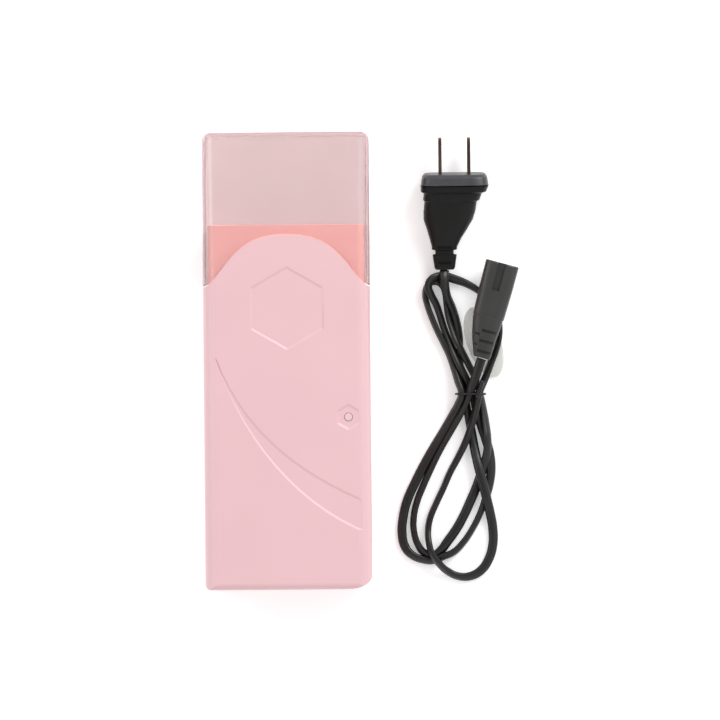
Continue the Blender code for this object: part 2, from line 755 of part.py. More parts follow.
def connector():
    """The figure-8 connector: two contact holes, a valley along its middle and a slotted strain relief."""
    body = loft("connector_body", behind(CONNECTOR_SECTIONS), sides=32)
    for way in (-1, 1):
        floor_z, sky_z = way * VALLEY_FLOOR, way * 6.0
        low_z, high_z = min(floor_z, sky_z), max(floor_z, sky_z)
        cut(body, box("valley", (-VALLEY_HALF, -VALLEY_LENGTH, low_z), (VALLEY_HALF, 1, high_z)))
        cut(body, cylinder("hole", (way * PIN_PITCH / 2, 1, 0), (way * PIN_PITCH / 2, -12, 0), 1.9, sides=16))
    for slot in RELIEF_SLOTS:
        for low_x, high_x, step in ((-1.2, SLOT_REACH, 0.0), (-SLOT_REACH, -1.8, SLOT_STEP)):
            y = -slot - step
            floor_z = 2.7 - (slot + step - RELIEF_SLOTS[0]) * 0.1
            cut(body, box("slot", (low_x, y - SLOT_HALF, floor_z), (high_x, y + SLOT_HALF, 6)))
            cut(body, box("slot", (-high_x, y - SLOT_HALF, -6), (-low_x, y + SLOT_HALF, -floor_z)))
    finish(place(body, CONNECTOR_FRONT, CONNECTOR_TURN), GREY_SOFT, LEAD)
    for side, x in (("left", -PIN_PITCH / 2), ("right", PIN_PITCH / 2)):
        sleeve = cylinder("connector_contact_" + side, (x, -1.2, 0), (x, -10, 0), 1.6, sides=16)
        cut(sleeve, cylinder("bore", (x, 0, 0), (x, -11, 0), 1.25, sides=16))
        finish(place(sleeve, CONNECTOR_FRONT, CONNECTOR_TURN), BRASS, LEAD)


# The cord's route from the connector to the plug: three loops below the tie and two folds above it
CORD_ROUTE = (
    (85.8, 0.95, 8.4), (84.7, -2.3, 8.3), (83.3, -6.9, 7.7), (81.6, -11.2, 6.8), (80.1, -14.6, 6.0),
    (78.5, -18.8, 5.2), (75.9, -24.3, 4.2), (71.7, -31.8, 2.6), (67.5, -39.2, 2.1), (63.6, -47.2, 2.1),
    (60.1, -55.1, 2.1), (57.2, -62.6, 2.1), (55.8, -69.6, 2.1), (56.0, -75.8, 2.1), (57.6, -81.0, 2.1),
    (60.3, -84.7, 1.9), (64.0, -86.2, 1.8), (67.7, -84.0, 1.6), (70.8, -79.9, 1.5), (74.4, -74.9, 1.4),
    (77.9, -68.7, 1.4), (80.7, -62.6, 1.4), (83.2, -56.8, 1.4), (85.4, -50.7, 1.6), (87.3, -45.0, 2.6),
    (88.4, -39.7, 4.2), (88.5, -34.4, 4.8), (87.8, -28.2, 3.4), (86.7, -21.6, 2.2), (85.2, -14.6, 2.2),
    (83.4, -8.4, 2.1), (80.5, -2.3, 2.5), (77.8, 3.0, 4.3), (75.2, 8.3, 4.6), (73.0, 14.0, 3.0),
    (71.2, 20.2, 2.1), (70.4, 25.9, 2.1), (69.8, 30.2, 2.1), (68.2, 33.6, 2.1), (65.2, 34.9, 2.2),
    (62.1, 33.5, 2.2), (60.9, 29.7, 2.2), (61.8, 24.9, 2.2), (63.6, 19.7, 2.2), (66.0, 14.0, 2.2),
    (68.9, 8.1, 2.2), (71.5, 2.6, 2.2), (73.5, -3.2, 2.9), (75.2, -8.9, 4.8), (76.9, -14.6, 6.0),
    (75.4, -19.0, 4.9), (73.0, -23.8, 3.0), (68.9, -31.1, 1.8), (64.9, -37.9, 1.6), (60.5, -45.8, 1.5),
    (56.5, -53.8, 1.4), (53.0, -61.7, 1.5), (51.2, -69.2, 1.5), (50.7, -76.2, 1.5), (52.1, -82.4, 1.5),
    (55.2, -85.9, 1.8), (59.8, -87.9, 1.9), (64.5, -88.3, 2.0), (68.9, -86.6, 2.0), (73.5, -84.6, 2.1),
    (77.9, -80.2, 2.1), (81.8, -74.4, 2.1), (85.1, -67.8, 2.2), (87.6, -61.2, 2.0), (89.3, -54.6, 1.6),
    (90.1, -47.6, 1.5), (89.5, -41.0, 1.5), (87.9, -35.1, 1.5), (85.8, -28.7, 1.6), (83.6, -21.6, 2.1),
    (81.8, -14.6, 2.2), (79.8, -9.3, 2.9), (77.0, -3.6, 4.7), (74.4, 2.1, 4.1), (72.1, 7.8, 2.5),
    (69.3, 14.4, 2.1), (67.5, 20.2, 2.2), (65.7, 25.2, 3.2), (63.5, 29.3, 4.9), (62.3, 32.7, 5.2),
    (63.4, 35.7, 5.0), (66.4, 37.2, 4.0), (70.2, 37.2, 2.4), (74.4, 36.0, 2.0), (79.6, 34.0, 2.0),
    (85.1, 30.5, 2.1), (90.2, 25.0, 2.2), (93.1, 18.8, 2.6), (93.7, 12.2, 2.6), (92.4, 5.6, 2.6),
    (89.8, -1.4, 2.9), (87.3, -8.0, 4.2), (84.6, -14.6, 6.0), (83.4, -20.8, 5.4), (81.6, -27.8, 4.8),
    (79.2, -34.8, 4.4), (75.9, -41.9, 2.4), (71.9, -49.4, 2.1), (68.9, -56.4, 2.1), (65.8, -63.0, 2.1),
    (63.1, -69.6, 2.1), (62.2, -75.3, 2.5), (62.6, -80.6, 4.6), (64.0, -85.4, 5.2), (66.9, -89.4, 4.8),
    (70.8, -93.0, 2.6), (75.9, -95.3, 1.9), (81.0, -95.2, 1.8), (86.0, -92.3, 1.6), (89.2, -87.4, 1.4),
    (90.9, -81.0, 1.4), (90.8, -73.6, 1.5), (89.5, -66.5, 2.6), (87.9, -59.9, 4.7), (86.2, -53.1, 4.7),
    (84.5, -46.7, 4.3), (82.7, -38.4, 2.4), (81.2, -30.0, 1.7), (79.6, -21.6, 2.1), (78.4, -14.6, 2.2),
    (77.1, -8.4, 2.1), (76.5, -2.3, 2.1), (76.3, 4.8, 2.1), (76.1, 10.5, 2.1), (75.0, 17.1, 2.0),
    (73.0, 23.7, 2.6), (70.8, 28.7, 4.7), (69.6, 33.4, 5.8), (69.3, 37.2, 5.7), (69.4, 39.9, 4.5),
)


def cord():
    finish(tube("cord", smooth_line(CORD_ROUTE, 140), CORD_RADIUS), BLACK_SOFT, LEAD)


TIE_Y = -14.6


def cord_tie():
    """A wire tie: a thin band round the six strands with its ends twisted together on top."""
    outer = rounded((74.5, 0.1, 2.6), (87.5, 0.1, 2.6), (87.5, 8.6, 2.6), (74.5, 8.6, 2.6))
    inner = rounded((75.1, 0.7, 2.0), (86.9, 0.7, 2.0), (86.9, 8.0, 2.0), (75.1, 8.0, 2.0))
    band = outline_solid("cord_tie", outer, TIE_Y - 0.9, TIE_Y + 0.9, "Y", steps=4)
    cut(band, outline_solid("tie_hollow", inner, TIE_Y - 2, TIE_Y + 2, "Y", steps=4))
    join(band, cylinder("twist", (84.0, TIE_Y - 0.5, 8.7), (86.3, TIE_Y + 6, 9.0), 0.8, sides=8))
    return finish(band, BLACK_SOFT, LEAD)


def cord_tag():
    """A small plain oval tag of frosted film under the connector."""
    long_half, short_half = 16.3, 7.5
    oval = [
        (long_half, 0, 0, -short_half * BEZIER_ARC, 0, short_half * BEZIER_ARC),
        (0, short_half, long_half * BEZIER_ARC, 0, -long_half * BEZIER_ARC, 0),
        (-long_half, 0, 0, short_half * BEZIER_ARC, 0, -short_half * BEZIER_ARC),
        (0, -short_half, -long_half * BEZIER_ARC, 0, long_half * BEZIER_ARC, 0),
    ]
    tag = outline_solid("cord_tag", oval, 0.1, 0.9, steps=8)
    finish(place(tag, (86.9, 8.3, 0), (0, 0, math.radians(-70.5))), FROSTED, LEAD)


clear_scene()
PARTS = new_collection("wax_heater")

PINK = new_material("shell_pink", (0.86, 0.58, 0.62), 0.45)
COVER_CLEAR = new_material("cover_pink", (0.85, 0.45, 0.45), 0.2, alpha=0.45)
CORAL = new_material("collar_coral", (0.9, 0.52, 0.48), 0.45)
WELL_METAL = new_material("well_aluminium", (0.72, 0.72, 0.73), 0.4, 1.0)
ALUMINIUM = new_material("plate_aluminium", (0.8, 0.8, 0.81), 0.3, 1.0)
CERAMIC = new_material("element_ceramic", (0.25, 0.24, 0.24), 0.6)
STEEL = new_material("steel", (0.6, 0.6, 0.61), 0.35, 1.0)
BRASS = new_material("brass", (0.55, 0.38, 0.28), 0.35, 1.0)
FUSE_WHITE = new_material("fuse_white", (0.8, 0.8, 0.76), 0.5)
BOARD_GREEN = new_material("board_green", (0.05, 0.25, 0.12), 0.4)
LAMP_RED = new_material("lamp_red", (0.7, 0.05, 0.04), 0.15, alpha=0.8)
LENS = new_material("lens_clear", (0.9, 0.75, 0.75), 0.1, alpha=0.6)
RESISTOR_TAN = new_material("resistor_tan", (0.6, 0.45, 0.28), 0.5)
WIRE_RED = new_material("wire_red", (0.55, 0.04, 0.03), 0.5)
WIRE_BLUE = new_material("wire_blue", (0.04, 0.1, 0.45), 0.5)
BLACK_HARD = new_material("inlet_black", (0.02, 0.02, 0.02), 0.35)
BLACK_SOFT = new_material("lead_black", (0.03, 0.03, 0.03), 0.5)
GREY_SOFT = new_material("connector_grey", (0.06, 0.06, 0.058), 0.5)
GREY_HARD = new_material("plug_face_grey", (0.09, 0.09, 0.1), 0.4)
FROSTED = new_material("tag_frosted", (0.72, 0.72, 0.7), 0.4, alpha=0.7)

HEATER = add_object("heater_frame", None)
COVER_SLIDE = add_object("cover_slide", None)
LEAD = add_object("lead_frame", None)
for frame in (COVER_SLIDE, LEAD):
    frame.parent = HEATER
LEAD.rotation_euler.z = LEAD_TURN

front_shell()
rear_shell()
neck_collar()
cartridge_well()
heating_parts()
indicator_parts()
inlet()
screws()
wires()
cover()
plug()
connector()
cord()
cord_tie()
cord_tag()
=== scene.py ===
# %% [markdown]
# # A roll-on wax heater and its mains lead
#
# The real object is a hand-held heater for wax cartridges. Its pink casing has a clear, tinted cover pushed
# on at one end, and its black mains lead lies beside it, folded and tied. The solids are loaded first. They
# fix every size and place, and the cells below build the looks around them, one piece or finish at a time.

# %% Load the solids
import json
import math

import bmesh
import bpy
from mathutils import Matrix, Vector


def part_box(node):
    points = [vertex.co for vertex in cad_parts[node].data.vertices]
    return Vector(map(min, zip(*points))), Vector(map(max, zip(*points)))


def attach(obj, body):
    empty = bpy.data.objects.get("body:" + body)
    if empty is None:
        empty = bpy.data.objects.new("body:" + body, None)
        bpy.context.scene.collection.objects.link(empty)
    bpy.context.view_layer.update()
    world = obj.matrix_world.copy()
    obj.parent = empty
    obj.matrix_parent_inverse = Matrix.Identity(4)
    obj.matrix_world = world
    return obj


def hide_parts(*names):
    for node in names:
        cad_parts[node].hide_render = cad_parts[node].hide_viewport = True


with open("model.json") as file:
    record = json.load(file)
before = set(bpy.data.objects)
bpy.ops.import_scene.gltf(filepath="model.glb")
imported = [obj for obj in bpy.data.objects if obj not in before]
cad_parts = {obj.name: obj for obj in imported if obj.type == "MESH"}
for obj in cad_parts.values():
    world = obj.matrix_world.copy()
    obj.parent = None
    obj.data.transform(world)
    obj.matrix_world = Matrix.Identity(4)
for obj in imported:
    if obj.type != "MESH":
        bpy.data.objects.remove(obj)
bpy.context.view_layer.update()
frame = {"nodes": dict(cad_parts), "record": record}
nodes = frame["nodes"]

MM = 0.001

# %% [markdown]
# ## Camera
#
# The heater is seen from straight above. A very long lens far away keeps its sides out of sight and keeps
# the low lead at the same scale as the tall heater. A short lens close by would show the casing's walls.
# The heater lies half a degree askew, so the camera is turned by as much.

# %% Camera
VIEW_WIDTH = 316.8 * MM  # what the picture spans at the height of the heater's front
VIEW_MIDDLE = (32.1 * MM, 0.13 * MM)
CAMERA_HEIGHT = 8.0
CAMERA_TURN = math.radians(-0.5)

long_lens = bpy.data.cameras.new("camera")
long_lens.lens = long_lens.sensor_width * CAMERA_HEIGHT / VIEW_WIDTH
camera = bpy.data.objects.new("camera", long_lens)
camera.location = (*VIEW_MIDDLE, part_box("front_shell")[1].z + CAMERA_HEIGHT)
camera.rotation_euler.z = CAMERA_TURN
bpy.context.scene.collection.objects.link(camera)
bpy.context.scene.camera = camera
print(f"lens of {long_lens.lens:.0f} mm, {CAMERA_HEIGHT} m above the heater")

# %% [markdown]
# ## Floor and light
#
# Small goods like these are shown on a lit white table, which leaves hardly any shadow. The floor here
# glows a little for the same reason, and that light also comes up through the clear cover. The sky is a
# light tent, bright all round and dimmer overhead, where the camera looks in. That dim patch keeps black
# plastic black on top and lets its sides shine. A soft lamp high on the right gives the sunken shapes a
# bright and a dark edge.

# %% Floor
def new_material(name):
    material = bpy.data.materials.new(name)
    material.use_nodes = True
    return material, material.node_tree.nodes["Principled BSDF"]


def set_inputs(shader, **values):
    """Sets a shader's own sockets. An underscore in a keyword stands for a space in the socket's name."""
    for socket, value in values.items():
        shader.inputs[socket.replace("_", " ")].default_value = value


FLOOR_HALF = 30.0
FLOOR_GAP = 0.0002  # keeps the floor's face from sharing a plane with the casing's back

floor_finish, shader = new_material("floor_white")
set_inputs(shader, Base_Color=(0.9, 0.9, 0.9, 1), Roughness=0.9, Specular_IOR_Level=0.2)
set_inputs(shader, Emission_Color=(1, 1, 1, 1), Emission_Strength=0.35)
bm = bmesh.new()
bmesh.ops.create_grid(bm, x_segments=1, y_segments=1, size=FLOOR_HALF)
floor_mesh = bpy.data.meshes.new("floor")
bm.to_mesh(floor_mesh)
bm.free()
floor_mesh.materials.append(floor_finish)
floor = bpy.data.objects.new("floor", floor_mesh)
floor.location.z = -FLOOR_GAP
bpy.context.scene.collection.objects.link(floor)

# %% Sky and lamps
# How bright the sky is at a height, where 0 is the horizon and 1 is straight overhead
SKY_BANDS = ((0.0, 0.55), (0.35, 0.97), (0.8, 0.97), (0.93, 0.45), (1.0, 0.4))

world = bpy.data.worlds.new("studio")
world.use_nodes = True
links, sky_nodes = world.node_tree.links, world.node_tree.nodes
direction = sky_nodes.new("ShaderNodeTexCoord")
height = sky_nodes.new("ShaderNodeSeparateXYZ")
bands = sky_nodes.new("ShaderNodeValToRGB")
for number, (place, brightness) in enumerate(SKY_BANDS):
    stop = bands.color_ramp.elements[number] if number < 2 else bands.color_ramp.elements.new(place)
    stop.position = place
    stop.color = (brightness, brightness, brightness, 1)
links.new(direction.outputs["Generated"], height.inputs[0])
links.new(height.outputs["Z"], bands.inputs["Fac"])
links.new(bands.outputs["Color"], sky_nodes["Background"].inputs["Color"])
bpy.context.scene.world = world
bpy.context.scene.view_settings.view_transform = "Standard"


def soft_lamp(name, place, size, power):
    """A round lamp that points at the middle of the heater."""
    data = bpy.data.lights.new(name, "AREA")
    data.shape = "DISK"
    data.size = size
    data.energy = power
    lamp = bpy.data.objects.new(name, data)
    lamp.location = place
    lamp.rotation_euler = (-Vector(place)).to_track_quat("-Z", "Y").to_euler()
    bpy.context.scene.collection.objects.link(lamp)
    print(f"{name}: {power} W, {Vector(place).length:.1f} m away")


soft_lamp("key", place=(0.9, 1.1, 1.05), size=0.8, power=15)
soft_lamp("fill", place=(-1.3, 0.5, 1.2), size=1.2, power=6)

# %% [markdown]
# ## Moulded plastic
#
# Real moulded plastic isn't one flat colour. The mould's skin gives it a fine grain, its gloss changes a
# little from place to place, and handling leaves soft marks. All of that comes from noise textures in
# Object coordinates: one coarse noise drifts the colour and the gloss, and one fine noise lifts the surface.
# A painted image would need the surface unwrapped, and its grain would stretch at the corners.

# %% Colour helper
def scaled(colour, factor):
    """An opaque colour that is this many times as bright."""
    return (*(min(1.0, part * factor) for part in colour), 1)


# %% Textured finish
NOISE_LOW, NOISE_HIGH = 0.3, 0.7  # where nearly all of a noise's values lie
COARSE_DETAIL, FINE_DETAIL = 4, 3  # octaves


def textured(name, colour, rough, drift, patch, grain, lift, stretch=(1, 1, 1), **more):
    """A finish whose colour and gloss drift in patches and whose surface has a fine grain. patch and grain
    are how many of them go in a metre, and lift is the grain's height in millimetres. stretch draws both out
    along an axis where it is below 1. Any other keyword sets the shader's own socket."""
    material, shader = new_material(name)
    tree = material.node_tree
    place = tree.nodes.new("ShaderNodeTexCoord")
    mapping = tree.nodes.new("ShaderNodeMapping")
    mapping.inputs["Scale"].default_value = stretch
    tree.links.new(place.outputs["Object"], mapping.inputs["Vector"])
    coarse = tree.nodes.new("ShaderNodeTexNoise")
    coarse.inputs["Scale"].default_value = patch
    coarse.inputs["Detail"].default_value = COARSE_DETAIL
    fine = tree.nodes.new("ShaderNodeTexNoise")
    fine.inputs["Scale"].default_value = grain
    fine.inputs["Detail"].default_value = FINE_DETAIL
    for noise in (coarse, fine):
        tree.links.new(mapping.outputs["Vector"], noise.inputs["Vector"])
    colours = tree.nodes.new("ShaderNodeValToRGB")
    dark_end, light_end = colours.color_ramp.elements
    dark_end.position, dark_end.color = NOISE_LOW, scaled(colour, 1 - drift)
    light_end.position, light_end.color = NOISE_HIGH, scaled(colour, 1 + drift)
    tree.links.new(coarse.outputs["Fac"], colours.inputs["Fac"])
    tree.links.new(colours.outputs["Color"], shader.inputs["Base Color"])
    gloss = tree.nodes.new("ShaderNodeMapRange")
    gloss.inputs["From Min"].default_value = NOISE_LOW
    gloss.inputs["From Max"].default_value = NOISE_HIGH
    gloss.inputs["To Min"].default_value = rough[0]
    gloss.inputs["To Max"].default_value = rough[1]
    tree.links.new(coarse.outputs["Fac"], gloss.inputs["Value"])
    tree.links.new(gloss.outputs["Result"], shader.inputs["Roughness"])
    bump = tree.nodes.new("ShaderNodeBump")
    bump.inputs["Distance"].default_value = lift * MM
    tree.links.new(fine.outputs["Fac"], bump.inputs["Height"])
    tree.links.new(bump.outputs["Normal"], shader.inputs["Normal"])
    set_inputs(shader, **more)
    return material


# %% The object's finishes
finishes = {
    "shell_pink": textured(
        "shell_pink", (0.735, 0.473, 0.498), rough=(0.36, 0.46), drift=0.012, patch=25, grain=1600,
        lift=0.012,
    ),
    "collar_coral": textured(
        "collar_coral", (0.89, 0.505, 0.478), rough=(0.36, 0.46), drift=0.015, patch=40, grain=1600,
        lift=0.012,
    ),
    "well_aluminium": textured(
        "well_aluminium", (0.72, 0.72, 0.73), rough=(0.3, 0.42), drift=0.05, patch=60, grain=900, lift=0.01,
        stretch=(1, 0.05, 1), Metallic=1.0,
    ),
    "plate_aluminium": textured(
        "plate_aluminium", (0.8, 0.8, 0.81), rough=(0.25, 0.4), drift=0.05, patch=80, grain=1500, lift=0.01,
        stretch=(1, 0.04, 1), Metallic=1.0,
    ),
    "element_ceramic": textured(
        "element_ceramic", (0.25, 0.24, 0.24), rough=(0.5, 0.65), drift=0.1, patch=90, grain=2500, lift=0.02
    ),
    "steel": textured(
        "steel", (0.6, 0.6, 0.61), rough=(0.28, 0.42), drift=0.08, patch=300, grain=3000, lift=0.006,
        Metallic=1.0,
    ),
    "fuse_white": textured(
        "fuse_white", (0.8, 0.8, 0.76), rough=(0.3, 0.4), drift=0.03, patch=120, grain=2500, lift=0.01
    ),
    "board_green": textured(
        "board_green", (0.03, 0.16, 0.07), rough=(0.25, 0.4), drift=0.12, patch=200, grain=2500, lift=0.01
    ),
    "lamp_red": textured(
        "lamp_red", (0.6, 0.04, 0.03), rough=(0.08, 0.15), drift=0.05, patch=200, grain=2500, lift=0.002
    ),
    "resistor_tan": textured(
        "resistor_tan", (0.5, 0.36, 0.2), rough=(0.35, 0.5), drift=0.08, patch=300, grain=3000, lift=0.01
    ),
    "wire_red": textured(
        "wire_red", (0.5, 0.03, 0.025), rough=(0.4, 0.55), drift=0.08, patch=150, grain=2500, lift=0.01
    ),
    "wire_blue": textured(
        "wire_blue", (0.03, 0.08, 0.4), rough=(0.4, 0.55), drift=0.08, patch=150, grain=2500, lift=0.01
    ),
    "inlet_black": textured(
        "inlet_black", (0.012, 0.012, 0.013), rough=(0.3, 0.42), drift=0.1, patch=100, grain=2200, lift=0.01
    ),
    "brass": textured(
        "brass", (0.72, 0.56, 0.3), rough=(0.22, 0.38), drift=0.1, patch=250, grain=3000, lift=0.005,
        Metallic=1.0,
    ),
    "blade_bronze": textured(
        "blade_bronze", (0.1, 0.062, 0.048), rough=(0.3, 0.5), drift=0.35, patch=220, grain=2200, lift=0.01,
        stretch=(1, 0.12, 1), Metallic=0.9,
    ),
    "lead_black": textured(
        "lead_black", (0.005, 0.0051, 0.0048), rough=(0.34, 0.5), drift=0.2, patch=70, grain=2600,
        lift=0.015, Specular_IOR_Level=0.25,
    ),
    "cord_black": textured(
        "cord_black", (0.0085, 0.0088, 0.0082), rough=(0.3, 0.44), drift=0.2, patch=55, grain=1800,
        lift=0.012, Specular_IOR_Level=0.45,
    ),
    "connector_grey": textured(
        "connector_grey", (0.03, 0.03, 0.029), rough=(0.3, 0.42), drift=0.12, patch=70, grain=2600,
        lift=0.015,
    ),
    "plug_face_grey": textured(
        "plug_face_grey", (0.038, 0.038, 0.042), rough=(0.3, 0.45), drift=0.15, patch=110, grain=2400,
        lift=0.015,
    ),
    "tie_black": textured(
        "tie_black", (0.006, 0.006, 0.006), rough=(0.3, 0.45), drift=0.1, patch=200, grain=2600, lift=0.01
    ),
    "cover_pink": textured(
        "cover_pink", (0.772, 0.694, 0.693), rough=(0.07, 0.13), drift=0.01, patch=40, grain=900, lift=0.003,
        Transmission_Weight=1.0, IOR=1.06, Coat_Weight=0.8, Coat_Roughness=0.06,
    ),
    "lens_clear": textured(
        "lens_clear", (0.84, 0.58, 0.61), rough=(0.1, 0.2), drift=0.02, patch=200, grain=2000, lift=0.003,
        Transmission_Weight=0.1,
    ),
    "tag_frosted": textured(
        "tag_frosted", (0.85, 0.85, 0.82), rough=(0.3, 0.5), drift=0.06, patch=120, grain=1500, lift=0.02,
        Transmission_Weight=0.55, IOR=1.2,
    ),
}
print(len(finishes), "finishes")

# %% [markdown]
# The cover's plastic also takes up a little light on the way through. A flat wall is thin and hardly shows
# it, but at the edges light runs along the wall, so the edges look a deeper pink.

# %% Tint inside the cover's plastic
TINT_COLOUR = (0.656, 0.164, 0.232, 1)
TINT_DENSITY = 12.0  # per metre

cover_tree = finishes["cover_pink"].node_tree
tint = cover_tree.nodes.new("ShaderNodeVolumeAbsorption")
set_inputs(tint, Color=TINT_COLOUR, Density=TINT_DENSITY)
cover_tree.links.new(tint.outputs["Volume"], cover_tree.nodes["Material Output"].inputs["Volume"])

# %% [markdown]
# ## Easing the sharp edges
#
# A solid's edges are as sharp as arithmetic makes them, but a moulded edge always has a small radius, and
# that radius is what catches the light. A copy of the solid is welded, its flat triangles are merged back
# into flat faces, and the edges that show are bevelled. An edge counts as sharp from 21 degrees, which takes
# in the gentle sides of the sunken shapes and leaves out the facets of the round ones. A Weighted Normal
# modifier then keeps the big faces flat in the light while the bevels shade round.

# %% Eased copies
WELD = 0.002 * MM
FLAT = math.radians(1.0)
SHARP = math.radians(21)
FLAT_FACE_WEIGHT = 90


def show(name, mesh, body, slot_name, *stands_for):
    """Puts a finished mesh in the scene on its body, with its finish, in place of what it stands for."""
    piece = bpy.data.objects.new(name, mesh)
    bpy.context.scene.collection.objects.link(piece)
    mesh.materials.clear()
    mesh.materials.append(finishes[slot_name])
    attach(piece, body)
    if stands_for:
        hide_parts(*stands_for)
    return piece


def eased(node, body, slot_name, width, chosen=lambda middle: True, segments=3):
    """A copy of a solid with its sharp edges rounded, width millimetres wide, where chosen says so of an
    edge's middle."""
    bm = bmesh.new()
    bm.from_mesh(nodes[node].data)
    bmesh.ops.remove_doubles(bm, verts=bm.verts[:], dist=WELD)
    bmesh.ops.dissolve_limit(bm, angle_limit=FLAT, verts=bm.verts[:], edges=bm.edges[:])
    edges = [
        edge
        for edge in bm.edges
        if edge.is_manifold
        and edge.calc_face_angle(0) > SHARP
        and chosen((edge.verts[0].co + edge.verts[1].co) / 2)
    ]
    bmesh.ops.bevel(
        bm, geom=edges, offset=width * MM, offset_type="OFFSET", affect="EDGES", segments=segments,
        profile=0.5, material=-1, clamp_overlap=True, miter_outer="ARC",
    )
    bmesh.ops.triangulate(bm, faces=[face for face in bm.faces if len(face.verts) > 4])
    mesh = bpy.data.meshes.new(node + "_eased")
    bm.to_mesh(mesh)
    bm.free()
    mesh.shade_smooth()
    mesh.set_sharp_from_angle(angle=SHARP)
    piece = show(node + "_eased", mesh, body, slot_name, node)
    weighted = piece.modifiers.new("flat faces", "WEIGHTED_NORMAL")
    weighted.keep_sharp = True
    weighted.weight = FLAT_FACE_WEIGHT
    print(f"{piece.name}: {len(edges)} edges eased by {width} mm, {len(mesh.polygons)} faces")
    return piece


# %% [markdown]
# ## Casing
#
# The casing is two pink shells that meet at mid-depth. Only the edges of its outer skin need easing: the
# rims of the sunken hexagons and of the crescent, the arch that the cover meets, and the parting line. An
# edge belongs to the skin when it lies close under the rounded bar that the casing is cut from.

# %% Front and rear shells
SHELL_LOW, SHELL_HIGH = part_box("front_shell")
HALF_WIDTH, MIDDLE_Z = SHELL_HIGH.x, SHELL_HIGH.z / 2
LONG_EDGE = 6.0 * MM  # radius of the casing's long edges
SKIN = 0.95 * MM  # takes in the sunken shapes and stops short of the walls' inner faces


def on_skin(middle):
    """Whether a place is close under the outer surface of the bar or at the flat bottom end."""
    across = abs(middle.x) - (HALF_WIDTH - LONG_EDGE)
    up = abs(middle.z - MIDDLE_Z) - (MIDDLE_Z - LONG_EDGE)
    if across > 0 and up > 0:
        depth = LONG_EDGE - math.hypot(across, up)
    else:
        depth = LONG_EDGE - max(across, up)
    return depth < SKIN or middle.y < SHELL_LOW.y + SKIN


eased("front_shell", "heater_body", "shell_pink", width=0.45, chosen=on_skin)
eased("rear_shell", "heater_body", "shell_pink", width=0.4, chosen=on_skin)

# %% [markdown]
# ## Collar, cover and indicator
#
# The cover is clear tinted plastic, so light has to go through it: a painted surface with some see-through
# would lose the lines that bent light makes in its thick edges. Its finish bends light far less than real
# plastic does, because at full strength those lines come out nearly black, and they should be a soft pink.
# The collar under it, the mains inlet at the other end and the indicator's lens are opaque or nearly so. The
# real lens is pressed in tight, so its copy is spread to fill most of the gap round its solid, which would
# show as a dark ring.

# %% Collar and cover
eased("neck_collar", "heater_body", "collar_coral", width=0.5)
cover = eased("cover", "cover", "cover_pink", width=0.5)
cover.visible_shadow = False  # clear plastic this thin hardly dims the light on what it covers

# %% Indicator lens
LENS_SPREAD = 0.2 * MM

LENS_LOW, LENS_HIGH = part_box("indicator_lens")
lens_middle = (LENS_LOW + LENS_HIGH) / 2
spread = 1 + LENS_SPREAD / (LENS_HIGH.x - lens_middle.x)
indicator_lens = eased("indicator_lens", "heater_body", "lens_clear", width=0.25)
for vertex in indicator_lens.data.vertices:
    vertex.co.x = lens_middle.x + (vertex.co.x - lens_middle.x) * spread
    vertex.co.y = lens_middle.y + (vertex.co.y - lens_middle.y) * spread

# %% Mains inlet
eased("mains_inlet", "heater_body", "inlet_black", width=0.3)

# %% [markdown]
# ## The cord
#
# The cord is a flat twin lead in soft black PVC, 4.2 mm by 2.5 mm. It twists as it goes, so it looks wide
# where it lies flat and narrow where it stands on edge. An oval is swept along a smooth curve, and the
# curve's tilt turns the oval. It runs from the connector through three loops and two folds to the plug.

